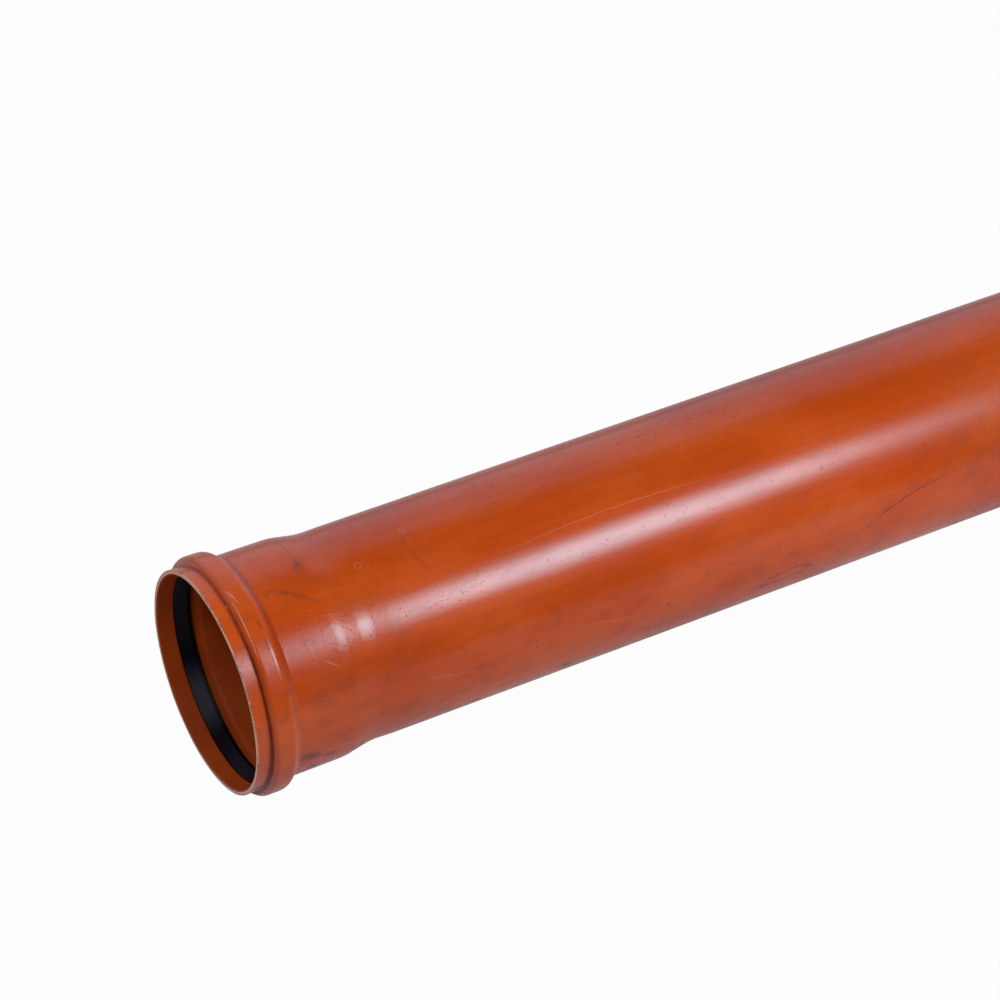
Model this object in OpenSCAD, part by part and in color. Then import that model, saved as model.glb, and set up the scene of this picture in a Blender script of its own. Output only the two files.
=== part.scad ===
// Solid-wall PVC-U sewer pipe with a ring-seal socket formed on one end.
// The pipe is one extruded tube. Its socket is the same wall, blown out over a
// mandrel: a mouth lip, a bead that houses the seal, a sleeve and a short cone.
// The rubber lip seal sits in the bead's groove and is the only other piece.
// Stations along the pipe are measured from the socket's mouth.

/* [Pipe] */
// Outside diameter of the plain pipe
pipe_od = 160; // [110:1:250]
// Wall thickness of the plain pipe
pipe_wall = 4; // [3.2:0.1:7]
// Laying length, from the depth a spigot reaches in the socket to the spigot end
laying_length = 1000; // [400:10:3000]

/* [Spigot end] */
// Length of the insertion chamfer
chamfer_length = 9; // [4:0.5:11]
// Angle of the chamfer to the pipe's axis
chamfer_angle = 15; // [8:1:15]

/* [Socket] */
// Insertion depth, from the mouth to the start of the cone
socket_depth = 79; // [62:1:140]
// Clearance on the diameter between the sleeve and a spigot
sleeve_clearance = 0.8; // [0.4:0.1:2]
// Wall thickness of the sleeve and of the mouth lip
socket_wall = 3.6; // [3:0.1:5]
// Length of the cone between sleeve and plain pipe
cone_length = 22.5; // [12:0.5:40]
// Radius where the sleeve bends into the cone, outside
cone_radius = 43; // [10:1:60]
// Radius where the cone meets the plain pipe, outside
neck_radius = 15; // [1:0.5:20]

/* [Bead] */
// Length of the mouth lip in front of the bead
lip_length = 11; // [6:0.5:20]
// Clearance on the diameter between the mouth lip and a spigot
lip_clearance = 3; // [1:0.1:4]
// Height of the bead over the sleeve
bead_height = 6.9; // [5.5:0.1:9]
// Wall thickness of the bead, stretched thinner than the sleeve
bead_wall = 3.2; // [2.6:0.1:4]
// Run of the bead's steep front wall
bead_front_run = 1.6; // [0.8:0.1:3]
// Length of the bead's flat top, between its sharp corners
bead_top = 14.8; // [13:0.1:20]
// Run of the bead's slope down to the sleeve
bead_back_run = 7.8; // [6:0.1:12]
// Radius of the bead's front shoulder, outside
front_shoulder = 4; // [3.5:0.1:4.6]
// Radius of the bead's back shoulder, outside
back_shoulder = 7; // [5:0.1:9]

/* [Seal] */
// Gap between the ring and its groove
seal_gap = 0.3; // [0.1:0.05:0.5]
// How far the free lip stands inside a spigot's surface
lip_bite = 2.2; // [1.2:0.1:3]
// Length of the land at the lip's edge
lip_land = 1.8; // [1:0.1:3]
// Station at which the lip's land starts, behind the bead's front wall
lip_reach = 12.2; // [10:0.1:14]
// Thickness of the lip behind its land
lip_tip = 1.5; // [1:0.1:2]

/* [Hidden] */
$fn = 240;
pvc_orange = [0.75, 0.30, 0.11];
rubber_black = [0.06, 0.06, 0.07];

// Radii of the plain pipe and of the socket, outside and inside
pipe_r = pipe_od / 2;
bore_r = pipe_r - pipe_wall;
sleeve_in = pipe_r + sleeve_clearance / 2;
sleeve_out = sleeve_in + socket_wall;
lip_in = pipe_r + lip_clearance / 2;
lip_out = lip_in + socket_wall;
bead_out = sleeve_out + bead_height;
groove_in = bead_out - bead_wall;

// Stations of the outside, from the mouth
top_start = lip_length + bead_front_run;
top_end = top_start + bead_top;
bead_end = top_end + bead_back_run;
neck = socket_depth + cone_length;
total_length = socket_depth + laying_length;

// Slopes of the three inclined walls, as angles to the axis
front_angle = atan2(bead_out - lip_out, bead_front_run);
back_angle = atan2(bead_out - sleeve_out, bead_back_run);
cone_angle = atan2(sleeve_out - pipe_r, cone_length);

// Shift along the axis of a corner of the inner skin, one wall inside the outer one
function mitre(wall, angle) = wall * tan(angle / 2);

// Stations of the inside
lip_end_in = lip_length + mitre(socket_wall, front_angle);
groove_start = top_start + mitre(bead_wall, front_angle);
groove_end = top_end - mitre(bead_wall, back_angle);
sleeve_start_in = bead_end - mitre(socket_wall, back_angle);
sleeve_end_in = socket_depth - mitre(socket_wall, cone_angle);
neck_in = neck - mitre(pipe_wall, cone_angle);

// Small radii: cut rims, the crease in front of the bead and the foot behind it
rim_radius = 0.4;
crease_radius = 0.5;
foot_radius = 1.5;
edge_in_radius = 1.2;
least_radius = 0.5;
front_shoulder_in = max(front_shoulder - bead_wall, least_radius);
back_shoulder_in = back_shoulder - bead_wall;
chamfer_depth = chamfer_length * tan(chamfer_angle);

// Seal: the nose stands proud of the mouth lip, the root of the free lip's underside
// lies level with it, and the heel ends part way down the groove's back slope
nose_step = 1.1;
root_step = 1.2;
heel_step = 3.4;
nose_r = lip_in + nose_step;
root_r = lip_in + root_step;
heel_r = sleeve_in + heel_step;
land_r = pipe_r - lip_bite;

// Stations of the free lip, tied to the groove's front wall. Its underside leaves the
// root just in front of the land and meets the tip just behind it.
root_setback = 0.8;
tip_rake = 1;
land_start = lip_length + lip_reach;
land_end = land_start + lip_land;
root = land_start - root_setback;

// Moulded radii of the seal
nose_radius = 0.6;
heel_radius = 1;
root_radius = 1.2;
tip_radius = 0.6;
land_front_radius = 0.8;
land_back_radius = 0.4;

// Stations of the groove's two inclined walls at a radius
function groove_front(r) =
    lip_end_in + (groove_start - lip_end_in) * (r - lip_in) / (groove_in - lip_in);
function groove_back(r) =
    groove_end + (sleeve_start_in - groove_end) * (groove_in - r) / (groove_in - sleeve_in);

// A corner of a wall section: station, radius from the axis, rounding
function corner(station, r, rounding = 0) = [r, station, rounding];

function flat(c) = [c[0], c[1]];
function unit(v) = v / norm(v);
function bend(before, at, after) =
    (at[0] - before[0]) * (after[1] - at[1]) - (at[1] - before[1]) * (after[0] - at[0]);

// Section outline with true arcs at its corners, drawn anticlockwise
module rounded_section(corners) {
    count = len(corners);
    function at(i) = flat(corners[(i + count) % count]);
    function to_before(i) = unit(at(i - 1) - at(i));
    function to_after(i) = unit(at(i + 1) - at(i));
    function half(i) = acos(to_before(i) * to_after(i)) / 2;
    function rounding(i) = corners[i][2];
    function cut(i) = rounding(i) / tan(half(i));
    function entry(i) = at(i) + to_before(i) * cut(i);
    function leave(i) = at(i) + to_after(i) * cut(i);
    function centre(i) = at(i) + unit(to_before(i) + to_after(i)) * rounding(i) / sin(half(i));
    function bulges(i) = bend(at(i - 1), at(i), at(i + 1)) > 0;
    rounded = [for (i = [0:count - 1]) if (rounding(i) > 0) i];

    module arc_cap(i) {
        intersection() {
            translate(centre(i)) circle(r = rounding(i));
            polygon([entry(i), at(i), leave(i)]);
        }
    }

    difference() {
        union() {
            polygon([for (i = [0:count - 1])
                each (rounding(i) > 0 ? [entry(i), leave(i)] : [at(i)])]);
            for (i = rounded) if (bulges(i)) arc_cap(i);
        }
        for (i = rounded) if (!bulges(i)) arc_cap(i);
    }
}

// Lays a section's turned body along X, mouth at -X, with the bead on the floor
module turned_along_x() {
    translate([-total_length / 2, 0, bead_out])
        rotate([0, 90, 0])
            rotate_extrude() children();
}

module pipe_section() {
    rounded_section([
        corner(0, lip_out, rim_radius),
        corner(lip_length, lip_out, crease_radius),
        corner(top_start, bead_out, front_shoulder),
        corner(top_end, bead_out, back_shoulder),
        corner(bead_end, sleeve_out, foot_radius),
        corner(socket_depth, sleeve_out, cone_radius),
        corner(neck, pipe_r, neck_radius),
        corner(total_length - chamfer_length, pipe_r),
        corner(total_length, pipe_r - chamfer_depth),
        corner(total_length, bore_r),
        corner(neck_in, bore_r, neck_radius + pipe_wall),
        corner(sleeve_end_in, sleeve_in, cone_radius - socket_wall),
        corner(sleeve_start_in, sleeve_in, foot_radius + socket_wall),
        corner(groove_end, groove_in, back_shoulder_in),
        corner(groove_start, groove_in, front_shoulder_in),
        corner(lip_end_in, lip_in, edge_in_radius),
        corner(0, lip_in, rim_radius)
    ]);
}

module pipe() {
    color(pvc_orange) turned_along_x() pipe_section();
}

module seal_section() {
    gap_front = seal_gap / sin(front_angle);
    gap_back = seal_gap / sin(back_angle);
    rounded_section([
        corner(groove_start + mitre(seal_gap, front_angle), groove_in - seal_gap,
               max(front_shoulder_in - seal_gap, least_radius)),
        corner(groove_end - mitre(seal_gap, back_angle), groove_in - seal_gap,
               back_shoulder_in - seal_gap),
        corner(groove_back(heel_r) - gap_back, heel_r, heel_radius),
        corner(root, root_r, root_radius),
        corner(land_end + tip_rake, land_r + lip_tip, tip_radius),
        corner(land_end, land_r, land_back_radius),
        corner(land_start, land_r, land_front_radius),
        corner(groove_front(nose_r) + gap_front, nose_r, nose_radius)
    ]);
}

module seal_ring() {
    color(rubber_black) turned_along_x() seal_section();
}

pipe();
seal_ring();
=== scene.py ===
"""Looks of a ring-seal PVC sewer pipe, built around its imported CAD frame.

The pipe and its rubber ring are turned shapes. Each is drawn as a wall section, and Geometry Nodes
round its corners, turn it about the pipe's axis and give it the small errors of a real pipe.
"""

from __future__ import annotations

import logging
import math
from dataclasses import asdict, dataclass, replace
from enum import Enum
from functools import reduce
from typing import Any, Callable, Sequence

import bpy
from mathutils import Matrix, Vector

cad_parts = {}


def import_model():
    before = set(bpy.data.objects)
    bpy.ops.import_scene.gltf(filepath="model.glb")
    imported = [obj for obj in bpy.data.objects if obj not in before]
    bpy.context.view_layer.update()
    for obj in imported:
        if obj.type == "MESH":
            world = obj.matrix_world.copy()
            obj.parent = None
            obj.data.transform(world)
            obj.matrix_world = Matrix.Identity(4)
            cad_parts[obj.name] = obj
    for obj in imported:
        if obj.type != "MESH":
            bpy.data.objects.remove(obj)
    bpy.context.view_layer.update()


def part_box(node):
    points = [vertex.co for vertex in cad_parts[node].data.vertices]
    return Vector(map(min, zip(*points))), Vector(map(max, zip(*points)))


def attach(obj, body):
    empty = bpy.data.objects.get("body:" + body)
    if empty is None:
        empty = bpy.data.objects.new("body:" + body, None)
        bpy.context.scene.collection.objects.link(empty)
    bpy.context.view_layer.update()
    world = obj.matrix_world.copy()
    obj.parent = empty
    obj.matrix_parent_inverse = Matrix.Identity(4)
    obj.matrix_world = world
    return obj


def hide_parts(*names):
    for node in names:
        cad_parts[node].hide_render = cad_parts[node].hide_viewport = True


MM = 0.001
LOG = logging.getLogger("sewer_pipe")

Pair = tuple[float, float]
Colour = tuple[float, float, float]
Place = tuple[float, float, float]
WHITE: Colour = (1.0, 1.0, 1.0)


class Slot(Enum):
    """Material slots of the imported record."""

    PVC = "pvc"
    RUBBER = "seal_rubber"


class Skin(Enum):
    """Which finish a stretch of a wall section takes."""

    BORE = -1.0
    MOULDED = 0.0
    CUT = 1.0


# ---- Node trees ----


def operator(operation: str) -> Callable[[Signal, Signal | float], Signal]:
    """A method that runs a signal and another value through one Math node."""
    return lambda self, other: self.math(operation, other)


class Signal:
    """An output socket that takes part in Python expressions, adding Math nodes as it goes."""

    __add__ = __radd__ = operator("ADD")
    __mul__ = __rmul__ = operator("MULTIPLY")
    __sub__ = operator("SUBTRACT")
    __truediv__ = operator("DIVIDE")
    larger = operator("MAXIMUM")
    above = operator("GREATER_THAN")

    def __init__(self, net: Net, socket: bpy.types.NodeSocket) -> None:
        """Wraps one output socket of a net."""
        self.net = net
        self.socket = socket

    def math(self, operation: str, *others: Signal | float, clamp: bool = False) -> Signal:
        """Runs this value and others through one Math node, which may clamp its result."""
        values = dict(enumerate((self, *others)))
        return self.net.node("ShaderNodeMath", values, operation=operation, use_clamp=clamp)

    def __rsub__(self, other: float) -> Signal:
        """other - self"""
        return self.net.node("ShaderNodeMath", {0: other, 1: self}, operation="SUBTRACT")

    def __abs__(self) -> Signal:
        """The value without its sign."""
        return self.math("ABSOLUTE")

    def clamped(self) -> Signal:
        """The value kept between 0 and 1."""
        return self.math("ADD", 0.0, clamp=True)

    def rise(self, low: Signal | float, high: float) -> Signal:
        """A smooth step from 0 at low to 1 at high, which may be the smaller of the two."""
        steps = {"Value": self, "From Min": low, "From Max": high}
        return self.net.node("ShaderNodeMapRange", steps, interpolation_type="SMOOTHSTEP")

    def bell(self, centre: float, half_width: float) -> Signal:
        """A smooth hump of height 1 at centre, down to 0 at half_width to each side."""
        return abs(self - centre).rise(half_width, 0.0)


class Net:
    """A node tree that is built by calls and expressions, for shaders and for geometry."""

    def __init__(self, tree: bpy.types.NodeTree) -> None:
        """Starts on a tree, emptied of its nodes."""
        self.tree = tree
        tree.nodes.clear()

    def node(self, kind: str, inputs: dict[Any, Any] | None = None, output: Any = 0,
             **settings: Any) -> Signal:
        """Adds one node.

        Args:
            kind: The node's type.
            inputs: Values or signals for its sockets, by name or index.
            output: Name or index of the output that is returned.
            settings: The node's own properties, set before its sockets.

        Returns:
            The chosen output.
        """
        made = self.tree.nodes.new(kind)
        for name, value in settings.items():
            setattr(made, name, value)
        for key, value in (inputs or {}).items():
            self.plug(made.inputs[key], value)
        return Signal(self, made.outputs[output] if made.outputs else None)

    def plug(self, socket: bpy.types.NodeSocket, value: Any) -> None:
        """Links a signal to a socket, or writes a plain number, colour or vector on it.

        Args:
            socket: The input to feed.
            value: The signal, or the plain value.
        """
        if isinstance(value, Signal):
            self.tree.links.new(value.socket, socket)
        elif socket.type == "RGBA" and len(value) == 3:
            socket.default_value = (*value, 1.0)
        else:
            socket.default_value = value

    def outputs(self, kind: str, inputs: dict[Any, Any] | None = None) -> dict[str, Signal]:
        """Adds one node, and gives all its outputs by name."""
        found = self.node(kind, inputs).socket.node.outputs
        return {socket.name: Signal(self, socket) for socket in found if socket.name}

    def noise(self, where: Signal, scale: Signal | float, detail: float,
              seed: Signal | float) -> Signal:
        """Adds soft noise that is read at a vector.

        Args:
            where: The vector.
            scale: How many patches lie along its unit.
            detail: How many finer layers are added.
            seed: Picks another pattern.

        Returns:
            The noise, from 0 to 1.
        """
        values = {"Vector": where, "W": seed, "Scale": scale, "Detail": detail}
        return self.node("ShaderNodeTexNoise", values, noise_dimensions="4D")

    def cells(self, where: Signal, size: float, output: str) -> Signal:
        """Cells of a size on a flat pattern: Distance from their points, or their random Color."""
        values = {"Vector": where, "Scale": 1.0 / size}
        return self.node("ShaderNodeTexVoronoi", values, output, voronoi_dimensions="2D")

    def scaled(self, where: Signal, factors: Place) -> Signal:
        """A vector with each part multiplied by its own factor."""
        return self.node("ShaderNodeVectorMath", {0: where, 1: factors}, operation="MULTIPLY")

    def vector(self, x: Signal | float, y: Signal | float, z: Signal | float = 0.0) -> Signal:
        """A vector from its three parts."""
        return self.node("ShaderNodeCombineXYZ", {0: x, 1: y, 2: z})

    def parts(self, where: Signal) -> tuple[Signal, ...]:
        """The three parts of a vector."""
        return tuple(self.outputs("ShaderNodeSeparateXYZ", {0: where}).values())

    def blend(self, factor: Signal | float, a: Any, b: Any) -> Signal:
        """The colour, or signal of one, from a at factor 0 to b at factor 1."""
        return self.node("ShaderNodeMix", {0: factor, 6: a, 7: b}, 2, data_type="RGBA")


# ---- Wall sections ----


@dataclass(frozen=True)
class Corner:
    """A corner of a wall section, in millimetres: station from the mouth, radius, rounding."""

    station: float
    radius: float
    rounding: float = 0.0
    skin: Skin = Skin.MOULDED

    @property
    def point(self) -> Vector:
        """The corner as a flat vector."""
        return Vector((self.station, self.radius))


@dataclass
class Outline:
    """A closed wall section, whose straight sides get rings enough for smooth shading."""

    corners: Sequence[Corner]
    support: float = 0.25
    longest_step: float = 22.0
    arc_step: float = math.radians(11.0)

    def half_angle(self, index: int) -> float:
        """Measures the outline's angle at a corner.

        Args:
            index: The corner's place in the outline.

        Returns:
            Half the angle between the two sides.
        """
        at = self.corners[index].point
        before = self.corners[index - 1].point - at
        after = self.corners[(index + 1) % len(self.corners)].point - at
        return before.angle(after) / 2

    def cut(self, index: int) -> float:
        """How far a corner's rounding reaches along each of its sides."""
        return self.corners[index].rounding / math.tan(self.half_angle(index))

    def steps(self, index: int) -> int:
        """How many points a corner's rounding is drawn with."""
        swept = math.pi - 2 * self.half_angle(index)
        return max(2, math.ceil(swept / self.arc_step))

    def side(self, index: int) -> list[Corner]:
        """Sets points on the side after a corner, close to both ends and evenly spaced between.

        Args:
            index: The corner's place in the outline.

        Returns:
            The points, or none where the roundings take up the whole side.
        """
        start, end = self.corners[index], self.corners[(index + 1) % len(self.corners)]
        along = end.point - start.point
        low = self.cut(index) + self.support
        high = along.length - self.cut((index + 1) % len(self.corners)) - self.support
        if high <= low:
            return []
        parts = max(1, math.ceil((high - low) / self.longest_step))
        skin = start.skin if start.skin is end.skin else Skin.MOULDED
        spots = [start.point + along.normalized() * (low + (high - low) * i / parts)
                 for i in range(parts + 1)]
        return [Corner(spot.x, spot.y, 0.0, skin) for spot in spots]

    def mesh(self, name: str) -> bpy.types.Mesh:
        """Draws the section as a closed line, with its roundings as attributes.

        Args:
            name: Name of the mesh.

        Returns:
            The line in metres, station along X and radius along Y.
        """
        points, counts = [], []
        for index, corner in enumerate(self.corners):
            points.append(corner)
            counts.append(self.steps(index) if corner.rounding else 1)
            extra = self.side(index)
            points.extend(extra)
            counts.extend([1] * len(extra))
        edges = [(i, (i + 1) % len(points)) for i in range(len(points))]
        mesh = bpy.data.meshes.new(name)
        mesh.from_pydata([(p.station * MM, p.radius * MM, 0.0) for p in points], edges, [])
        columns = {
            "rounding": ("FLOAT", [p.rounding * MM for p in points]),
            "steps": ("INT", counts),
            "skin": ("FLOAT", [p.skin.value for p in points]),
        }
        for column, (kind, values) in columns.items():
            mesh.attributes.new(column, kind, "POINT").data.foreach_set("value", values)
        return mesh


@dataclass
class PipeSizes:
    """Driving sizes of the pipe and its seal, in millimetres, and what follows from them."""

    pipe_od: float = 160.0
    pipe_wall: float = 4.0
    laying_length: float = 1000.0
    chamfer_length: float = 9.0
    chamfer_angle: float = math.radians(15.0)
    socket_depth: float = 79.0
    sleeve_clearance: float = 0.8
    socket_wall: float = 3.6
    cone_length: float = 22.5
    cone_radius: float = 43.0
    neck_radius: float = 15.0
    lip_length: float = 11.0
    lip_clearance: float = 3.0
    bead_height: float = 6.9
    bead_wall: float = 3.2
    bead_front_run: float = 1.6
    bead_top: float = 14.8
    bead_back_run: float = 7.8
    front_shoulder: float = 4.0
    back_shoulder: float = 7.0
    seal_gap: float = 0.3
    lip_bite: float = 2.2
    lip_land: float = 1.8
    lip_reach: float = 12.2
    lip_tip: float = 1.5
    rim_radius: float = 0.4
    crease_radius: float = 0.5
    foot_radius: float = 1.5
    edge_in_radius: float = 1.2
    # Where the formed pipe strays from its CAD section
    trimmed_edge: float = 0.25
    foot_in_radius: float = 5.5
    lip_flare: float = 0.28
    bead_fall: float = 0.12
    mouth_radius: float = 0.9
    sleeve_draft: float = 0.3
    neck_shift: float = -0.8
    neck_dip: float = 0.25
    neck_bend: float = 60.0
    dip_length: float = 20.0
    dip_bend: float = 160.0

    def __post_init__(self) -> None:
        """Works out the radii, stations and slopes that follow from the driving sizes."""
        self.pipe_r = self.pipe_od / 2
        self.bore_r = self.pipe_r - self.pipe_wall
        self.sleeve_in = self.pipe_r + self.sleeve_clearance / 2
        self.sleeve_out = self.sleeve_in + self.socket_wall
        self.lip_in = self.pipe_r + self.lip_clearance / 2
        self.lip_out = self.lip_in + self.socket_wall
        self.bead_out = self.sleeve_out + self.bead_height
        self.groove_in = self.bead_out - self.bead_wall

        self.top_start = self.lip_length + self.bead_front_run
        self.top_end = self.top_start + self.bead_top
        self.bead_end = self.top_end + self.bead_back_run
        self.neck = self.socket_depth + self.cone_length
        self.total_length = self.socket_depth + self.laying_length

        self.front_angle = math.atan2(self.bead_out - self.lip_out, self.bead_front_run)
        self.back_angle = math.atan2(self.bead_out - self.sleeve_out, self.bead_back_run)
        self.cone_angle = math.atan2(self.sleeve_out - self.pipe_r, self.cone_length)

        self.lip_end_in = self.lip_length + self.mitre(self.socket_wall, self.front_angle)
        self.groove_start = self.top_start + self.mitre(self.bead_wall, self.front_angle)
        self.groove_end = self.top_end - self.mitre(self.bead_wall, self.back_angle)
        self.sleeve_start_in = self.bead_end - self.mitre(self.socket_wall, self.back_angle)

    @staticmethod
    def mitre(wall: float, angle: float) -> float:
        """Shift along the axis of a corner of the inner skin, one wall inside the outer one."""
        return wall * math.tan(angle / 2)

    def pipe_corners(self) -> list[Corner]:
        """Lays out the pipe's wall section.

        Returns:
            Its corners, from the mouth along the outside and back inside.
        """
        sleeve_end_in = self.socket_depth - self.mitre(self.socket_wall, self.cone_angle)
        neck_in = self.neck - self.mitre(self.pipe_wall, self.cone_angle)
        neck_out = self.neck + self.neck_shift
        chamfer_depth = self.chamfer_length * math.tan(self.chamfer_angle)
        end, edge, bore = self.total_length, self.trimmed_edge, Skin.BORE
        return [
            Corner(0.0, self.lip_out + self.lip_flare, self.rim_radius, Skin.CUT),
            Corner(self.lip_length, self.lip_out - self.lip_flare, self.crease_radius),
            Corner(self.top_start, self.bead_out, self.front_shoulder),
            Corner(self.top_end, self.bead_out - self.bead_fall, self.back_shoulder),
            Corner(self.bead_end, self.sleeve_out + self.sleeve_draft / 2, self.foot_radius),
            Corner(self.socket_depth, self.sleeve_out - self.sleeve_draft / 2, self.cone_radius),
            Corner(neck_out, self.pipe_r - self.neck_dip, self.neck_bend),
            Corner(neck_out + self.dip_length, self.pipe_r, self.dip_bend),
            Corner(end - self.chamfer_length, self.pipe_r, edge, Skin.CUT),
            Corner(end, self.pipe_r - chamfer_depth, edge, Skin.CUT),
            Corner(end, self.bore_r, edge, Skin.CUT),
            Corner(end - edge, self.bore_r, 0.0, bore),
            Corner(neck_in, self.bore_r, self.neck_radius + self.pipe_wall, bore),
            Corner(sleeve_end_in, self.sleeve_in, self.cone_radius - self.socket_wall, bore),
            Corner(self.sleeve_start_in, self.sleeve_in, self.foot_in_radius, bore),
            Corner(self.groove_end, self.groove_in, self.back_shoulder - self.bead_wall, bore),
            Corner(self.groove_start, self.groove_in, self.front_shoulder - self.bead_wall, bore),
            Corner(self.lip_end_in, self.lip_in, self.edge_in_radius, bore),
            Corner(0.0, self.lip_in, self.mouth_radius, bore),
            Corner(0.0, self.lip_in + self.mouth_radius + edge, 0.0, Skin.CUT),
        ]


@dataclass(frozen=True)
class SealSizes:
    """Sizes of the rubber ring's own forms, in millimetres."""

    nose_step: float = 1.1
    root_step: float = 1.2
    heel_step: float = 3.4
    root_setback: float = 0.8
    tip_rake: float = 1.0
    nose_radius: float = 0.6
    heel_radius: float = 1.0
    root_radius: float = 1.2
    tip_radius: float = 0.6
    land_front_radius: float = 0.8
    land_back_radius: float = 0.4

    def corners(self, pipe: PipeSizes) -> list[Corner]:
        """Lays out the ring's section, tied to the groove that it sits in.

        Args:
            pipe: Sizes of the pipe around it.

        Returns:
            Its corners, along the groove's floor first and back along the free lip.
        """
        gap = pipe.seal_gap
        floor = pipe.groove_in - gap
        land_r = pipe.pipe_r - pipe.lip_bite
        land_start = pipe.lip_length + pipe.lip_reach
        land_end = land_start + pipe.lip_land
        nose_r = pipe.lip_in + self.nose_step
        heel_r = pipe.sleeve_in + self.heel_step
        front_share = (nose_r - pipe.lip_in) / (pipe.groove_in - pipe.lip_in)
        back_share = (pipe.groove_in - heel_r) / (pipe.groove_in - pipe.sleeve_in)
        front = pipe.lip_end_in + (pipe.groove_start - pipe.lip_end_in) * front_share
        back = pipe.groove_end + (pipe.sleeve_start_in - pipe.groove_end) * back_share
        front_round = pipe.front_shoulder - pipe.bead_wall - gap
        back_round = pipe.back_shoulder - pipe.bead_wall - gap
        return [
            Corner(pipe.groove_start + pipe.mitre(gap, pipe.front_angle), floor, front_round),
            Corner(pipe.groove_end - pipe.mitre(gap, pipe.back_angle), floor, back_round),
            Corner(back - gap / math.sin(pipe.back_angle), heel_r, self.heel_radius),
            Corner(land_start - self.root_setback, pipe.lip_in + self.root_step, self.root_radius),
            Corner(land_end + self.tip_rake, land_r + pipe.lip_tip, self.tip_radius),
            Corner(land_end, land_r, self.land_back_radius),
            Corner(land_start, land_r, self.land_front_radius),
            Corner(front + gap / math.sin(pipe.front_angle), nose_r, self.nose_radius),
        ]


# ---- Turning a section ----


@dataclass(frozen=True)
class Errors:
    """How far a turned piece strays from true, in metres. Each is a named input of its tree."""

    out_of_round: float = 0.00015
    wander: float = 0.00006
    wander_size: float = 0.09
    waist_depth: float = 0.0
    waist_station: float = 0.0
    waist_reach: float = 0.018
    rim_wave: float = 0.0
    rim_wave_size: float = 0.045
    rim_wave_reach: float = 0.006
    chip_depth: float = 0.0
    chip_size: float = 0.0032
    chip_reach: float = 0.002
    seed: float = 7.0


def titled(name: str) -> str:
    """A name in code as the title of a named input."""
    return name.replace("_", " ").title()


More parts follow.
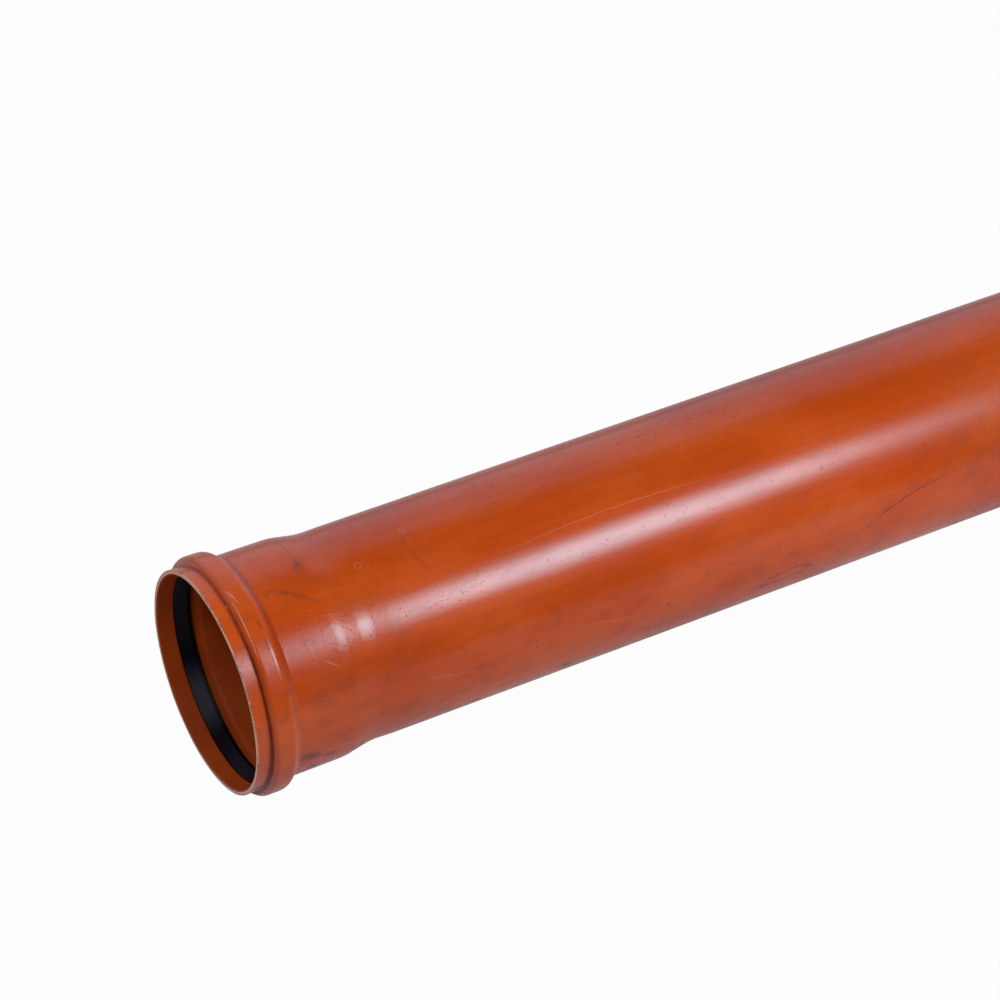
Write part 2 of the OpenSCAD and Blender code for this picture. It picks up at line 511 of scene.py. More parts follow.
class LatheNet(Net):
    """The Geometry Nodes that round a section, turn it about the pipe's axis and finish it."""

    def __init__(self, tree: bpy.types.NodeTree) -> None:
        """Starts on a tree that has its named inputs."""
        super().__init__(tree)
        self.size = self.outputs("NodeGroupInput")

    def attribute(self, name: str, kind: str = "FLOAT") -> Signal:
        """Reads a named attribute."""
        return self.node("GeometryNodeInputNamedAttribute", {"Name": name}, data_type=kind)

    def stored(self, geometry: Signal, name: str, value: Signal) -> Signal:
        """Stores a number on every point of a geometry under a name."""
        values = {"Geometry": geometry, "Name": name, "Value": value}
        return self.node("GeometryNodeStoreNamedAttribute", values, domain="POINT")

    def rounded(self, section: Signal) -> Signal:
        """Rounds the corners of the drawn section.

        Args:
            section: The section as a closed line.

        Returns:
            The section as a curve, its stations and radii stored.
        """
        curve = self.node("GeometryNodeMeshToCurve", {"Mesh": section})
        rounding = {"Curve": curve, "Count": self.attribute("steps", "INT"),
                    "Radius": self.attribute("rounding"), "Limit Radius": True}
        curve = self.node("GeometryNodeFilletCurve", rounding, mode="POLY")
        station, radius, _ = self.parts(self.node("GeometryNodeInputPosition"))
        curve = self.stored(curve, "station", station)
        return self.stored(curve, "from_axis", radius)

    def turned(self, section: Signal) -> Signal:
        """Sweeps the section round a ring.

        Args:
            section: The rounded section.

        Returns:
            The swept mesh, with the turn of every point stored.
        """
        segments = self.size["Segments"]
        ring = self.node("GeometryNodeCurvePrimitiveCircle", {"Resolution": segments})
        turn = self.node("GeometryNodeInputIndex") / segments * math.tau
        ring = self.stored(ring, "turn", turn)
        return self.node("GeometryNodeCurveToMesh", {"Curve": ring, "Profile Curve": section})

    def placed(self, mesh: Signal) -> Signal:
        """Lays the swept mesh along X, its mouth at -X, with the piece's errors.

        Args:
            mesh: The swept mesh.

        Returns:
            The mesh in its place.
        """
        size = self.size
        station = self.attribute("station")
        radius = self.attribute("from_axis")
        turn = self.attribute("turn")
        side, up = turn.math("SINE"), turn.math("COSINE")

        def rippled(patch: Signal, reach: float, offset: float) -> Signal:
            """Noise about 0 on the turned surface, with patches of a given size."""
            where = self.vector(station * reach, side * radius, up * radius)
            return self.noise(where, patch.math("POWER", -1.0), 1.0, size["Seed"] + offset) - 0.5

        oval = (turn * 2.0 + size["Seed"]).math("COSINE") * size["Out Of Round"]
        wander = rippled(size["Wander Size"], 1.0, 0.0) * size["Wander"] * 2.0
        apart = abs(station - size["Waist Station"]) / size["Waist Reach"]
        below = 0.5 - up * 0.5
        waist = size["Waist Depth"] * apart.rise(1.0, 0.0) * below
        near_rim = station.rise(size["Rim Wave Reach"], 0.0)
        wave = rippled(size["Rim Wave Size"], 0.0, 3.0) * size["Rim Wave"] * near_rim * 2.0
        chips = rippled(size["Chip Size"], 1.0, 9.0).rise(0.16, 0.34) * size["Chip Depth"]
        cut = self.attribute("skin").larger(0.0)
        station = station + wave + chips * cut * station.rise(size["Chip Reach"], 0.0)
        radius = radius + oval + wander - waist
        place = self.vector(station + size["Mouth X"], side * radius * -1.0,
                            up * radius + size["Axis Height"])
        return self.node("GeometryNodeSetPosition", {"Geometry": mesh, "Position": place})

    def finished(self, mesh: Signal) -> Signal:
        """Shades the mesh smooth and gives every skin its finish.

        Args:
            mesh: The mesh in its place.

        Returns:
            The finished piece.
        """
        mesh = self.node("GeometryNodeRealizeInstances", {"Geometry": mesh})
        mesh = self.node("GeometryNodeSetShadeSmooth", {"Geometry": mesh, "Shade Smooth": True})
        skin = self.attribute("skin")
        chosen = {Skin.MOULDED: True, Skin.CUT: skin.above(0.6),
                  Skin.BORE: (skin * -1.0).above(0.4)}
        for kind, there in chosen.items():
            material = self.size[titled(kind.name)]
            mesh = self.node("GeometryNodeSetMaterial",
                             {"Geometry": mesh, "Selection": there, "Material": material})
        return mesh


Finishes = dict[Skin, bpy.types.Material]


@dataclass
class Lathe:
    """Makes the pipe's pieces as plain meshes, each by a tree with named inputs."""

    surface: PipeSurface
    errors: Errors
    segments: int = 384

    def inputs(self, finishes: Finishes) -> dict[str, Any]:
        """Gathers the piece's values for the named inputs of its tree.

        Args:
            finishes: The finish of each skin.

        Returns:
            The values by title, each of the type that its socket takes.
        """
        values = {"Segments": self.segments, "Axis Height": self.surface.axis_height,
                  "Mouth X": self.surface.mouth_x}
        values |= {titled(name): value for name, value in asdict(self.errors).items()}
        return values | {titled(skin.name): finish for skin, finish in finishes.items()}

    @staticmethod
    def tree(name: str, values: dict[str, Any]) -> bpy.types.NodeTree:
        """Builds the node tree.

        Args:
            name: Name of the tree.
            values: The named inputs.

        Returns:
            The tree, which ends in Realize Instances and Set Material.
        """
        tree = bpy.data.node_groups.new(name, "GeometryNodeTree")
        kinds = {int: "NodeSocketInt", float: "NodeSocketFloat",
                 bpy.types.Material: "NodeSocketMaterial"}
        tree.interface.new_socket("Section", in_out="INPUT", socket_type="NodeSocketGeometry")
        for label, value in values.items():
            tree.interface.new_socket(label, in_out="INPUT", socket_type=kinds[type(value)])
        tree.interface.new_socket("Piece", in_out="OUTPUT", socket_type="NodeSocketGeometry")
        net = LatheNet(tree)
        swept = net.turned(net.rounded(net.size["Section"]))
        net.node("NodeGroupOutput", {0: net.finished(net.placed(swept))})
        return tree

    def turn(self, name: str, outline: Outline, finishes: Finishes) -> bpy.types.Object:
        """Makes a piece as a plain mesh.

        Args:
            name: The piece's name.
            outline: Its section.
            finishes: The finish of each skin.

        Returns:
            The piece, at the origin, with its place in its mesh.
        """
        piece = shown(name, outline.mesh(name + "_section"))
        values = self.inputs(finishes)
        modifier = piece.modifiers.new("lathe", "NODES")
        modifier.node_group = self.tree(name + "_lathe", values)
        for item in modifier.node_group.interface.items_tree:
            if item.name in values:
                modifier[item.identifier] = values[item.name]
        evaluated = piece.evaluated_get(bpy.context.evaluated_depsgraph_get())
        mesh = bpy.data.meshes.new_from_object(evaluated)
        piece.modifiers.remove(modifier)
        mesh.name = name
        piece.data = mesh
        return piece


def shown(name: str, data: Any) -> bpy.types.Object:
    """Puts a mesh, a lamp or a camera into the scene.

    Args:
        name: The object's name.
        data: What it shows.

    Returns:
        The new object.
    """
    made = bpy.data.objects.new(name, data)
    bpy.context.scene.collection.objects.link(made)
    return made


def net_of(owner: Any) -> Net:
    """The emptied node tree of a material, a lamp or a world."""
    owner.use_nodes = True
    return Net(owner.node_tree)


# ---- Finishes ----


@dataclass(frozen=True)
class Spot:
    """Where a finish is drawn: its tree and the coordinates on the pipe, in metres and radians.

    They are the plain place, the station from the mouth, the turn from the top towards the front,
    the unrolled surface and the radius that it was unrolled at.
    """

    net: Net
    place: Signal
    station: Signal
    turn: Signal
    flat: Signal
    radius: float


@dataclass(frozen=True)
class PipeSurface:
    """Where the pipe lies, from which its finishes get their coordinates."""

    axis_height: float
    mouth_x: float
    radius: float

    def read(self, net: Net) -> Spot:
        """Adds the coordinates to a material's tree.

        Args:
            net: The tree.

        Returns:
            The coordinates.
        """
        place = net.node("ShaderNodeTexCoord", output="Object")
        x, y, z = net.parts(place)
        station = x - self.mouth_x
        turn = (y * -1.0).math("ARCTAN2", z - self.axis_height)
        flat = net.vector(station, turn * self.radius)
        return Spot(net, place, station, turn, flat, self.radius)


@dataclass(frozen=True)
class Finish:
    """What every finish has: a name, the pipe that it lies on and a way to become a material."""

    name: str
    surface: PipeSurface

    @staticmethod
    def skin(net: Net, **sockets: Any) -> Signal:
        """A surface shader, whose sockets are named with _ for each space."""
        values = {key.replace("_", " "): value for key, value in sockets.items()}
        return net.node("ShaderNodeBsdfPrincipled", values)

    @staticmethod
    def bumped(net: Net, height: Signal) -> Signal:
        """The normal of a surface with a relief, whose height is in metres."""
        return net.node("ShaderNodeBump", {"Height": height, "Strength": 1.0, "Distance": 1.0})

    def draw(self, at: Spot) -> Signal:
        """Draws the finish. Each finish has its own way.

        Args:
            at: The coordinates on the pipe.

        Returns:
            The finish's shader.
        """
        raise NotImplementedError

    def material(self) -> bpy.types.Material:
        """Makes the finish.

        Returns:
            The material, ready for a piece.
        """
        made = bpy.data.materials.new(self.name)
        net = net_of(made)
        net.node("ShaderNodeOutputMaterial", {"Surface": self.draw(self.surface.read(net))})
        return made


@dataclass(frozen=True)
class Grain:
    """A layer of noise on a surface, in metres.

    Its squeeze is a factor on the pipe's way, below 1 for patches that are longer than wide. As a
    relief it has a height, and one more where the socket was formed.
    """

    size: float
    seed: float
    detail: float = 2.0
    squeeze: float = 1.0
    height: float = 0.0
    formed: float = 0.0

    def over(self, net: Net, place: Signal) -> Signal:
        """Draws the layer over any vector, from 0 to 1."""
        squeezed = net.scaled(place, (self.squeeze, 1.0, 1.0)) if self.squeeze != 1.0 else place
        return net.noise(squeezed, 1.0 / self.size, self.detail, self.seed)

    def on(self, at: Spot) -> Signal:
        """Draws the layer on the pipe, from 0 to 1."""
        return self.over(at.net, at.place)

    def raised(self, at: Spot) -> Signal:
        """The normal of a surface that has this layer as its only relief."""
        return Finish.bumped(at.net, self.on(at) * self.height)


@dataclass(frozen=True)
class Mark:
    """A mark on the outer skin, in millimetres and degrees.

    It lies at a station from the mouth and at a height over the level, towards the front. Its tilt
    turns its length from the pipe's axis towards the floor, and its sag bends its ends that way.
    """

    station: float
    height: float
    length: float
    width: float
    tilt: float = 0.0
    strength: float = 1.0
    sag: float = 0.0
    hollow: bool = False

    def drawn(self, at: Spot) -> Signal:
        """Draws the mark on the unrolled surface.

        Args:
            at: The coordinates on the pipe.

        Returns:
            The mark, from 0 to its strength.
        """
        place = (self.station * MM, math.radians(90.0 - self.height) * at.radius, 0.0)
        frame = {"Vector": at.flat, "Location": place,
                 "Rotation": (0.0, 0.0, math.radians(self.tilt)),
                 "Scale": (self.length * MM / 2, self.width * MM / 2, 1.0)}
        local = at.net.node("ShaderNodeMapping", frame, vector_type="TEXTURE")
        if self.sag:
            along, across, _ = at.net.parts(local)
            across = across - along * along * (2.0 * self.sag / self.width) + self.sag / self.width
            local = at.net.vector(along, across)
        far = at.net.node("ShaderNodeVectorMath", {0: local}, "Value", operation="LENGTH")
        shape = far.bell(0.78, 0.22) if self.hollow else far.rise(1.0, 0.15)
        return shape * self.strength


Marks = tuple[Mark, ...]


def marks(*rows: Sequence[float]) -> Marks:
    """Marks from rows of their values, in the order of their fields."""
    return tuple(Mark(*row) for row in rows)


@dataclass(frozen=True)
class PvcFinish(Finish):
    """Extruded orange-brown PVC-U with draw lines, grains of dirt, smears and small marks, and
    painted shade in the crease, at the bead's foot and towards the far end.
    """

    base: Colour = (0.645, 0.086, 0.0010)
    deep: Colour = (0.515, 0.060, 0.0012)
    sheen_tint: Colour = (0.52, 0.78, 0.90)
    haze: Colour = (0.600, 0.230, 0.120)
    # A dark red for darker grain and wear, and for the painted shade in the crease and at the
    # bead's foot.
    shade: Colour = (0.160, 0.013, 0.0005)
    # Dirt for the smears and stain marks, also used for the one patch of painted shade towards the
    # far end.
    dirt: Colour = (0.110, 0.038, 0.020)
    pit: Colour = (0.270, 0.055, 0.030)
    pale: Colour = (0.620, 0.260, 0.190)
    roughness: float = 0.16
    ior: float = 1.50
    grain_shade: float = 0.10
    worn_shade: float = 0.20
    haze_cover: float = 0.07
    smear_cover: float = 0.38
    scuff_cover: float = 0.80
    speck_cover: float = 0.95
    pit_depth: float = 0.00002
    scuff_height: float = 0.00001
    stray: float = 0.0024
    # Stations of the painted shade in the crease and at the bead's foot, in metres.
    crease: float = 0.0109
    foot: Pair = (0.033, 0.005)
    formed: tuple[Pair, ...] = ((0.078, 0.045), (0.012, 0.022))
    speck_chance: float = 0.68
    speck_cells: tuple[Place, ...] = ((0.0090, 0.050, 0.07), (0.0031, 0.110, 0.17))
    patches: Grain = Grain(0.060, 1, 3.0, 0.5)
    streaks: Grain = Grain(0.005, 2, squeeze=0.05)
    mottle: Grain = Grain(0.011, 8, 4.0, 0.7)
    broken: Grain = Grain(0.006, 22, 3.0)
    cloud: Grain = Grain(0.032, 21, 4.0, 0.6)
    draw_lines: Grain = Grain(0.0016, 5, squeeze=0.05, height=0.000004)
    long_waves: Grain = Grain(0.026, 6, 1.0, 0.35, height=0.00017)
    ripples: Grain = Grain(0.0055, 7, height=0.000010)
    grain: Grain = Grain(0.0011, 3, height=0.000004, formed=0.000055)
    dimples: Grain = Grain(0.0026, 9, height=0.000036, formed=0.000090)
    # Real stain marks, and one wide faint patch of painted shade at station 640.
    stains: Marks = marks(
        (57, 70, 52, 7, 32, 0.50, 3.0), (76, 104, 46, 1.6, 90, 0.80), (75.5, 87, 18, 8, 90, 0.62),
        (71.5, 84, 12, 6, 90, 0.50), (41, 77, 24, 4, 80, 0.40), (44, -19, 30, 14, 25, 0.90),
        (60, -24, 20, 10, 20, 0.65), (49, -33, 16, 10, 0, 0.85), (5, -35, 24, 9, 90, 0.80),
        (24.5, 60, 9, 2.0, 80, 1.0), (23.5, 50, 14, 2.0, 85, 1.0), (16.5, 106, 5, 2.0, 30, 0.70),
        (22, 101, 6, 2.0, -20, 0.70), (259, -30, 25, 14, 30, 0.70), (185, -33, 14, 10, 0, 0.65),
        (613, -36, 22, 11, 0, 0.65), (329, -24, 7, 4, 0, 0.90), (342, -6, 6, 4, 0, 0.80),
        (448, -19, 54, 13, -6, 0.70, 3.0, True), (553, 1, 172, 2.4, -17, 0.75, 20.0),
        # The first mark on the next line is painted shade: it darkens the far part of the pipe,
        # where the light falls off.
        (640, 35, 190, 150, 0, 0.26), (159, 66, 26, 6, 80, 0.20),
    )
    scuffs: Marks = marks(
        (315, 55, 274, 1.0, 0, 0.45, 9.0), (146, 42, 70, 1.0, -12, 0.45),
        (160, 0.5, 74, 1.5, 12, 0.35), (222, -0.5, 60, 1.5, -13, 0.33),
        (294, -2.5, 90, 1.5, 12, 0.33), (67, 32, 22, 1.1, 37, 0.80), (16, 78, 15, 2.4, 68, 0.80),
        (17.5, 74, 9, 1.4, 60, 0.60), (80, 54, 30, 1.0, 12, 0.45), (10.5, 75.5, 2.6, 2.0, 0, 1.0),
        (115, 75.4, 7.0, 6.5, 0, 0.38, 0.0, True), (121.5, 72.8, 4.0, 4.5, 0, 0.34, 0.0, True),
        (160, 87.5, 6.0, 6.0, 0, 0.34, 0.0, True), (160, 80.2, 4.0, 4.0, 0, 0.30, 0.0, True),
        (320, 113, 8.0, 9.0, 0, 0.36, 0.0, True), (348, 102, 9.0, 7.0, 0, 0.36, 0.0, True),
    )
    pitted: Marks = marks(
        (148, 68, 74, 72, 0, 1.0), (122, 65, 28, 5, 90, 1.0), (160, 72, 50, 7, 88, 1.0),
        (166, 80, 22, 6, 80, 1.0), (200, 44, 190, 26, 0, 0.8), (360, 100, 520, 50, 0, 0.9),
        (76, 0, 90, 60, 0, 0.7),
    )

    def draw(self, at: Spot) -> Signal:
        """Draws the plastic.

        Args:
            at: The coordinates on the pipe.

        Returns:
            The finish's shader.
        """
        net = at.net
        waves = {layer: layer.on(at) for layer in
                 (self.draw_lines, self.long_waves, self.ripples, self.grain, self.dimples)}
        grain = waves[self.grain]
        patches, streaks = self.patches.on(at), self.streaks.on(at)
        broken = self.broken.on(at).rise(0.30, 0.62)
        worn, smears, specks = self.worn(at), self.smears(at), self.specks(at)
        valleys = self.valleys(at, broken)
        strayed = self.strayed(at)
        stains = self.gathered(self.stains, strayed) * (broken * 0.6 + 0.4)
        scuffs = self.gathered(self.scuffs, strayed)

        colour = net.blend((patches * 0.8 + streaks * 0.3).rise(0.35, 0.75), self.base, self.deep)
        for there, paint in (
            (grain.rise(0.35, 0.75) * self.grain_shade, self.shade),
            (worn * self.worn_shade, self.shade),
            (patches.rise(0.62, 0.40) * self.haze_cover, self.haze),
            # Painted shade in the crease and at the foot of the bead.
            (valleys, self.shade),
            # Real smears and stain marks in dirt colour; one of the marks is painted shade towards
            # the far end.
            ((smears * self.smear_cover + stains).clamped(), self.dirt),
            (scuffs * self.scuff_cover, self.pale),
        ):
            colour = net.blend(there, colour, paint)
        dulled = ((smears, 0.12), (patches.rise(0.4, 0.7), 0.05), (stains, 0.2),
                  (valleys, 0.15), (grain, 0.04), (worn, 0.06))
        roughness = sum(there * gain for there, gain in dulled) + self.roughness

        cone, lip = (at.station.bell(centre, reach) for centre, reach in self.formed)
        formed = cone.larger(lip * 0.8)
        relief = sum(wave * (formed * layer.formed + layer.height)
                     for layer, wave in waves.items())
        relief = relief - specks * self.pit_depth + scuffs * self.scuff_height
        normal = self.bumped(net, relief)
        plastic = self.skin(net, Base_Color=colour, Roughness=roughness, IOR=self.ior,
                            Specular_Tint=self.sheen_tint, Normal=normal)
        pit = self.skin(net, Base_Color=self.pit, Roughness=0.9, IOR=1.2, Normal=normal)
        return net.node("ShaderNodeMixShader",
                        {0: specks * self.speck_cover, 1: plastic, 2: pit})

    def strayed(self, at: Spot) -> Spot:
        """Pulls the unrolled surface about, so that the edges of marks wander.

        Args:
            at: The coordinates on the pipe.

        Returns:
            The coordinates, pulled about.
        """
        pull = at.net.node("ShaderNodeTexNoise",
                           {"Vector": at.place, "Scale": 90.0, "Detail": 3.0}, "Color")
        pulled = at.net.node("ShaderNodeVectorMath",
                             {0: pull, 1: (self.stray,) * 3, 2: at.flat}, operation="MULTIPLY_ADD")
        middle = at.net.node("ShaderNodeVectorMath", {0: pulled, 1: (self.stray / 2,) * 3},
                             operation="SUBTRACT")
        return replace(at, flat=middle)

    def worn(self, at: Spot) -> Signal:
        """Draws the dullness of handling, most of it in front and on the socket.

        Args:
            at: The coordinates on the pipe.

        Returns:
            The mottled dullness, from 0 to 1.
        """
        mottle = self.mottle.on(at).rise(0.46, 0.72)
        front = abs(at.turn - 1.75).rise(1.1, 0.3)
        return mottle * (front * 0.8 + at.station.rise(0.20, 0.07) * 0.4 + 0.2).clamped()

    @staticmethod
    def gathered(found: Marks, at: Spot) -> Signal:
        """All the marks of a list, from 0 to 1, where two that meet don't add up."""
        return reduce(Signal.larger, (mark.drawn(at) for mark in found))

    def valleys(self, at: Spot, broken: Signal) -> Signal:
        """Paints shade into the crease in front of the bead and into the foot behind it.

        Args:
            at: The coordinates on the pipe.
            broken: Noise that makes the crease patchy.

        Returns:
            The painted shade, from 0 to 1.
        """
        # Painted shade: the crease is wider and darker towards the bottom in front, narrower and
        # fainter on top.
        low = at.turn.rise(1.2, 2.4)
        high = at.turn.rise(0.9, 0.0)
        reach = low * (0.4 * MM) - high * (0.25 * MM) + 0.90 * MM
        off = abs(at.station - self.crease)
        crease = (1.0 - off / reach).clamped().rise(0.0, 0.6)
        crease = crease * (broken * 0.15 + low * 0.1 - high * 0.28 + 0.72)
        # Painted shade at the foot behind the bead, strongest on its upper side.
        upper = at.turn.rise(1.2, 0.3) * at.turn.rise(-1.9, -0.8) * 0.42 + 0.12
        return crease.larger(at.station.bell(*self.foot) * upper)

    def specks(self, at: Spot) -> Signal:
        """Draws small dark pits and grains of dirt, closer together where it is pitted.

        Args:
            at: The coordinates on the pipe.

        Returns:
            The specks, from 0 to 1.
        """
        pitted = self.gathered(self.pitted, at)
        found = []
        for cell, least, spread in self.speck_cells:
            distance = at.net.cells(at.flat, cell, "Distance")
            chance, size, depth = at.net.parts(at.net.cells(at.flat, cell, "Color"))
            there = (1.0 - distance / (size * spread + least)).clamped()
            there = there * (chance + pitted * 0.28).above(self.speck_chance)
            found.append(there * (depth * 0.8 + 0.3))
        return reduce(Signal.larger, found).rise(0.0, 0.6)

    def smears(self, at: Spot) -> Signal:
        """Draws soft smudges of handling dirt.

        Args:
            at: The coordinates on the pipe.

        Returns:
            The smudges, from 0 to 1.
        """
        cloud = self.cloud.on(at).rise(0.50, 0.78)
        low = abs(at.turn).rise(0.9, 2.0)
        return cloud * (low * 0.8 + at.station.rise(0.16, 0.06) * 0.5 + 0.15)


@dataclass(frozen=True)
class ShadedBoreFinish(Finish):
    """The pipe's inner skin: the same plastic, duller, and darker as painted shade, since little
    light gets inside.
    """

    # Darker than the outer plastic: painted shade for the dim inside of the pipe.
    base: Colour = (0.435, 0.062, 0.0040)
    deep: Colour = (0.360, 0.048, 0.0040)
    dirt: Colour = (0.030, 0.012, 0.006)
    roughness: float = 0.55
    ior: float = 1.27
    cloud: Grain = Grain(0.03, 51, 4.0, 0.4)
    specks: Grain = Grain(0.0016, 52, 1.0)
    relief: Grain = Grain(0.0016, 53, height=0.00001)

    def draw(self, at: Spot) -> Signal:
        """Draws the inner skin.

        Args:
            at: The coordinates on the pipe.

        Returns:
            The finish's shader.
        """
        colour = at.net.blend(self.cloud.on(at).rise(0.35, 0.7), self.base, self.deep)
        colour = at.net.blend(self.specks.on(at).rise(0.72, 0.80) * 0.6, colour, self.dirt)
        return self.skin(at.net, Base_Color=colour, Roughness=self.roughness, IOR=self.ior,
                         Normal=self.relief.raised(at))


@dataclass(frozen=True)
class CutFinish(Finish):
    """A sawn and trimmed edge of the pipe: paler and dull, with tool marks and a dirty arris."""

    pale: Colour = (0.840, 0.460, 0.310)
    grey: Colour = (0.520, 0.280, 0.200)
    dirt: Colour = (0.045, 0.030, 0.020)
    roughness: float = 0.6
    ior: float = 1.45
    arris: Pair = (0.0842, 0.0850)
    marks: Grain = Grain(0.0022, 31, 3.0)
    gaps: Grain = Grain(0.0016, 33)
    grime: Grain = Grain(0.35, 34, 1.0)
    relief: Grain = Grain(0.0007, 32, height=0.00005)

    def draw(self, at: Spot) -> Signal:
        """Draws the trimmed edge, whose grime comes and goes with the turn.

        Args:
            at: The coordinates on the pipe.

        Returns:
            The finish's shader.
        """
        _, y, z = at.net.parts(at.place)
        z = z - self.surface.axis_height
        from_axis = (y * y + z * z).math("SQRT")
        colour = at.net.blend(self.marks.on(at).rise(0.50, 0.80), self.pale, self.grey)
        arris = from_axis.rise(*self.arris) * self.gaps.on(at).rise(0.44, 0.56)
        grime = self.grime.over(at.net, at.net.vector(at.turn, 0.0)).rise(0.36, 0.56)
        colour = at.net.blend((arris * grime).clamped(), colour, self.dirt)
        return self.skin(at.net, Base_Color=colour, Roughness=self.roughness, IOR=self.ior,
                         Normal=self.relief.raised(at))


@dataclass(frozen=True)
class RubberFinish(Finish):
    """Moulded black rubber with a faint grey bloom and fine grey specks, and a band of painted
    sheen at one turn.
    """

    black: Colour = (0.0010, 0.0005, 0.0012)
    bloom: Colour = (0.004, 0.003, 0.006)
    # Grey of the painted sheen band.
    dust: Colour = (0.036, 0.034, 0.044)
    sheen_tint: Colour = (0.88, 0.80, 1.0)
    roughness: float = 0.26
    ior: float = 1.20
    dust_cell: float = 0.006
    dust_reach: float = 0.07
    # Turn and half width of the painted sheen band, in radians.
    dusty: Pair = (-2.44, 0.42)
    cloud: Grain = Grain(0.018, 41, 3.0)
    relief: Grain = Grain(0.0012, 42, height=0.00001)

    def draw(self, at: Spot) -> Signal:
        """Draws the rubber.

        Args:
            at: The coordinates on the pipe.

        Returns:
            The finish's shader.
        """
        cloud = self.cloud.on(at)
        grains = 1.0 - at.net.cells(at.flat, self.dust_cell, "Distance") / self.dust_reach
        chance, _, _ = at.net.parts(at.net.cells(at.flat, self.dust_cell, "Color"))
        bloom = cloud.rise(0.45, 0.8) * 0.5 + grains.clamped() * chance.above(0.75) * 0.6
        colour = at.net.blend(bloom, self.black, self.bloom)
        # Painted sheen: a grey band at one turn of the ring stands in for a reflection of the
        # light.
        dusty = at.turn.bell(*self.dusty) * (cloud * 1.2 + 0.6)
        colour = at.net.blend(dusty.clamped(), colour, self.dust)
        return self.skin(at.net, Base_Color=colour, Roughness=self.roughness + cloud * 0.12,
                         IOR=self.ior, Specular_Tint=self.sheen_tint,
                         Normal=self.relief.raised(at))


# ---- Sub-assemblies ----


@dataclass
class Piece:
    """A piece of the pipe, which stands for a CAD node."""

    sizes: PipeSizes
    surface: PipeSurface

    @staticmethod
    def dressed(piece: bpy.types.Object, node: str, slot: Slot) -> None:
        """Hangs a piece on the frame in place of its CAD node, and reports it.

        Args:
            piece: The piece.
            node: The CAD node that it stands for.
            slot: Its material slot. Not used.
        """
        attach(piece, "root")
        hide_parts(node)
        LOG.info("%s: %d faces, for node %s", piece.name, len(piece.data.polygons), node)


@dataclass
class SewerPipe(Piece):
    """The pipe itself, with the socket formed on its end."""

    errors: Errors = Errors(waist_depth=0.0004, waist_station=0.106, rim_wave=0.0004,
                            chip_depth=0.0005)

    def build(self) -> None:
        """Makes and dresses the pipe."""
        finishes = {
            Skin.MOULDED: PvcFinish("pvc_orange_brown", self.surface).material(),
            Skin.CUT: CutFinish("pvc_cut_edge", self.surface).material(),
            Skin.BORE: ShadedBoreFinish("pvc_bore", self.surface).material(),
        }
        outline = Outline(self.sizes.pipe_corners())
        piece = Lathe(self.surface, self.errors).turn("pipe_body", outline, finishes)
        self.dressed(piece, "pipe", Slot.PVC)


@dataclass
class SealRing(Piece):
    """The rubber lip seal in the bead's groove."""

    seal: SealSizes = SealSizes()
    errors: Errors = Errors(out_of_round=0.00012, wander=0.00005, wander_size=0.03, seed=3.0)

    def build(self) -> None:
        """Makes and dresses the ring."""
        rubber = RubberFinish("seal_rubber_black", self.surface).material()
        outline = Outline(self.seal.corners(self.sizes), support=0.15)
        lathe = Lathe(self.surface, self.errors)
        piece = lathe.turn("seal_lip_ring", outline, dict.fromkeys(Skin, rubber))
        self.dressed(piece, "seal_ring", Slot.RUBBER)


# ---- Studio ----


@dataclass(frozen=True)
class Lamp:
    """A soft rectangular lamp with a bright core, in metres and watts."""

    name: str
    aim: Place
    away: Place
    distance: float
    length: float
    width: float
    power: float
    tint: Colour
    fades: Pair

    def hang(self) -> None:
        """Adds the lamp to the scene, its length as near the pipe's way as its beam lets it."""
        data = bpy.data.lights.new(self.name, "AREA")
        data.shape = "RECTANGLE"
        data.size, data.size_y = self.length, self.width
        data.energy = self.power
        data.color = self.tint
        self.grade(net_of(data))
        lamp = shown(self.name, data)
        away = Vector(self.away).normalized()
        place = Vector(self.aim) + away * self.distance
        lamp.matrix_world = Matrix.Translation(place) @ beam(away).to_4x4()
        lamp.visible_camera = False

    def grade(self, net: Net) -> None:
        """Lets the diffuser fall off from its core to its edges.

        Args:
            net: The lamp's tree.
        """
        spot = net.node("ShaderNodeNewGeometry", output="Parametric")
        along, across, _ = net.parts(spot)
        ends, sides = self.fades
        strength = 1.0
        for place, fade in ((along, ends), (across, sides)):
            if fade:
                strength = abs(place - 0.5).rise(0.5, 0.5 - fade) * strength
        lit = net.node("ShaderNodeEmission", {"Color": WHITE, "Strength": strength})
        net.node("ShaderNodeOutputLight", {"Surface": lit})


def beam(away: Vector) -> Matrix:
    """Finds the rotation of a lamp.

    Args:
        away: The unit vector from what is lit to the lamp.

    Returns:
        A rotation whose Z is away, and whose X is nearest the pipe's way.
    """
    along = Vector((1.0, 0.0, 0.0))
    along = (along - away * along.dot(away)).normalized()
    return Matrix((along, away.cross(along), away)).transposed()


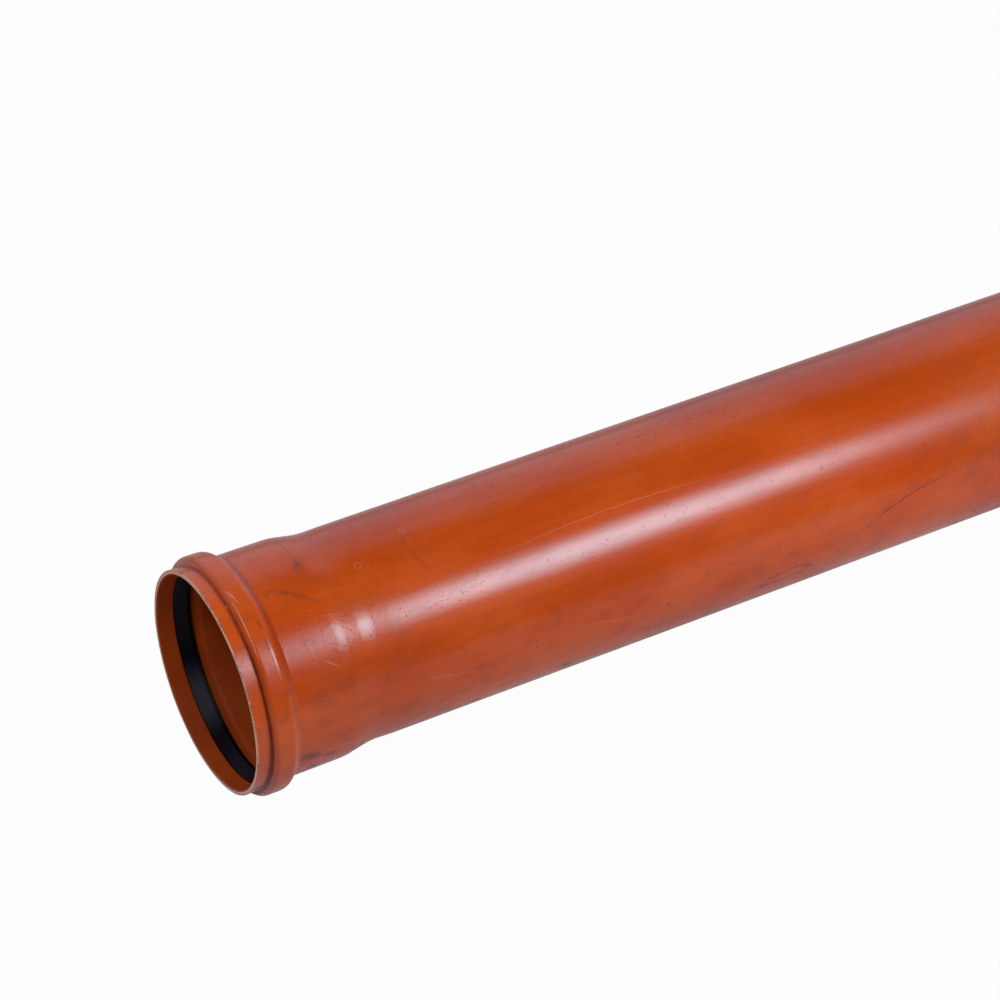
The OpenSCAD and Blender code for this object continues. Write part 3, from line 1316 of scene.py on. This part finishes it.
@dataclass
class Studio:
    """Floor, lamps, surroundings and camera."""

    surface: PipeSurface
    half_floor: float = 15.0
    floor_lift: float = 0.97
    floor_gloss: float = 0.13
    floor_reach: Pair = (-0.9, -0.22)
    floor_colour: Colour = (0.66, 0.60, 0.61)
    floor_far: Colour = (0.05, 0.05, 0.05)
    sweep: float = 0.66
    room: float = 0.29
    ceiling: float = 0.07
    air: Colour = (0.87, 0.96, 1.26)
    key_height: float = math.radians(43.7)
    lens: float = 131.207
    sensor: float = 36.0
    sight: float = 100.0
    camera_turn: float = math.radians(29.3675)
    camera_elevation: float = math.radians(38.1977)
    camera_from_mouth: Place = (-0.7843, -1.8255, 1.72193)

    def floor(self) -> None:
        """Lays the floor."""
        mesh = bpy.data.meshes.new("floor")
        corners = [(x * self.half_floor, y * self.half_floor, 0.0)
                   for x, y in ((-1, -1), (1, -1), (1, 1), (-1, 1))]
        mesh.from_pydata(corners, [], [(0, 1, 2, 3)])
        mesh.materials.append(self.floor_material())
        floor = shown("floor", mesh)

    def floor_material(self) -> bpy.types.Material:
        """Makes a matt floor that reads as white to the eye and in reflections.

        Returns:
            The floor's material.
        """
        made = bpy.data.materials.new("floor_white")
        net = net_of(made)
        rays = net.outputs("ShaderNodeLightPath")
        _, y, _ = net.parts(net.node("ShaderNodeTexCoord", output="Object"))
        mirrored = rays["Is Glossy Ray"].larger(rays["Is Transmission Ray"])
        near = y.rise(*self.floor_reach)
        lift = rays["Is Camera Ray"] * self.floor_lift
        lift = lift.larger(mirrored * near * self.floor_gloss)
        shade = net.blend(mirrored * (1.0 - near), self.floor_colour, self.floor_far)
        matt = net.node("ShaderNodeBsdfDiffuse", {"Color": shade})
        white = net.node("ShaderNodeEmission", {"Color": WHITE, "Strength": 1.0})
        mixed = net.node("ShaderNodeMixShader", {0: lift, 1: matt, 2: white})
        net.node("ShaderNodeOutputMaterial", {"Surface": mixed})
        return made

    def surroundings(self) -> None:
        """Sets the world: a pale sweep behind, a dim room in front and a dark ceiling."""
        world = bpy.data.worlds.new("studio")
        bpy.context.scene.world = world
        net = net_of(world)
        _, back, up = net.parts(net.node("ShaderNodeTexCoord", output="Generated"))
        sweep = back.rise(0.15, 0.55) * up.rise(0.86, 0.68) * (self.sweep - self.ceiling)
        room = back.rise(0.15, -0.05) * up.bell(0.42, 0.46) * (self.room - self.ceiling)
        seen = net.node("ShaderNodeLightPath", output="Is Camera Ray")
        light = (sweep + room + self.ceiling).larger(seen)
        tint = net.blend(seen, self.air, WHITE)
        shade = net.node("ShaderNodeBackground", {"Color": tint, "Strength": light})
        net.node("ShaderNodeOutputWorld", {"Surface": shade})

    def lamps(self) -> list[Lamp]:
        """Lists the lamps. The pipe mirrors the key lamp along its upper front.

        Returns:
            The three lamps.
        """
        front, up = -math.cos(self.key_height), math.sin(self.key_height)
        return [
            Lamp("key_softbox", (0.355, -0.057, 0.146), (0.0, front, up), 1.3, 1.03, 0.88,
                 52.5, (0.94, 0.95, 1.0), (0.42, 0.50)),
            Lamp("left_strip", (-0.50, 0.0, 0.14), (-0.42, -0.34, 0.84), 0.85, 0.11, 0.62,
                 2.4, (0.96, 0.98, 1.0), (0.0, 0.15)),
            Lamp("top_softbox", (-0.42, 0.0, 0.15), (-0.42, 0.08, 0.90), 0.75, 0.5, 0.5,
                 1.3, (0.96, 0.98, 1.0), (0.3, 0.3)),
        ]

    def camera(self) -> None:
        """Sets up the camera, seen from the mouth's side and above."""
        data = bpy.data.cameras.new("camera")
        data.lens = self.lens
        data.sensor_width = self.sensor
        data.clip_end = self.sight
        camera = shown("camera", data)
        mouth = Vector((self.surface.mouth_x, 0.0, self.surface.axis_height))
        camera.location = mouth + Vector(self.camera_from_mouth)
        camera.rotation_euler = (math.pi / 2 - self.camera_elevation, 0.0, -self.camera_turn)
        bpy.context.scene.camera = camera

    def build(self) -> None:
        """Sets the whole studio."""
        self.camera()
        self.floor()
        self.surroundings()
        lamps = self.lamps()
        for lamp in lamps:
            lamp.hang()
        bpy.context.scene.view_settings.view_transform = "Standard"
        LOG.info("studio: floor, %d lamps, camera at %.1f mm", len(lamps), self.lens)


def main() -> None:
    """Builds the pipe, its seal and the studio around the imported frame."""
    logging.basicConfig(level=logging.INFO, format="%(name)s: %(message)s")
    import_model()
    low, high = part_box("pipe")
    sizes = PipeSizes()
    surface = PipeSurface((low.z + high.z) / 2, low.x, sizes.pipe_r * MM)

    Studio(surface).build()
    SewerPipe(sizes, surface).build()
    SealRing(sizes, surface).build()


if __name__ == "__main__":
    main()
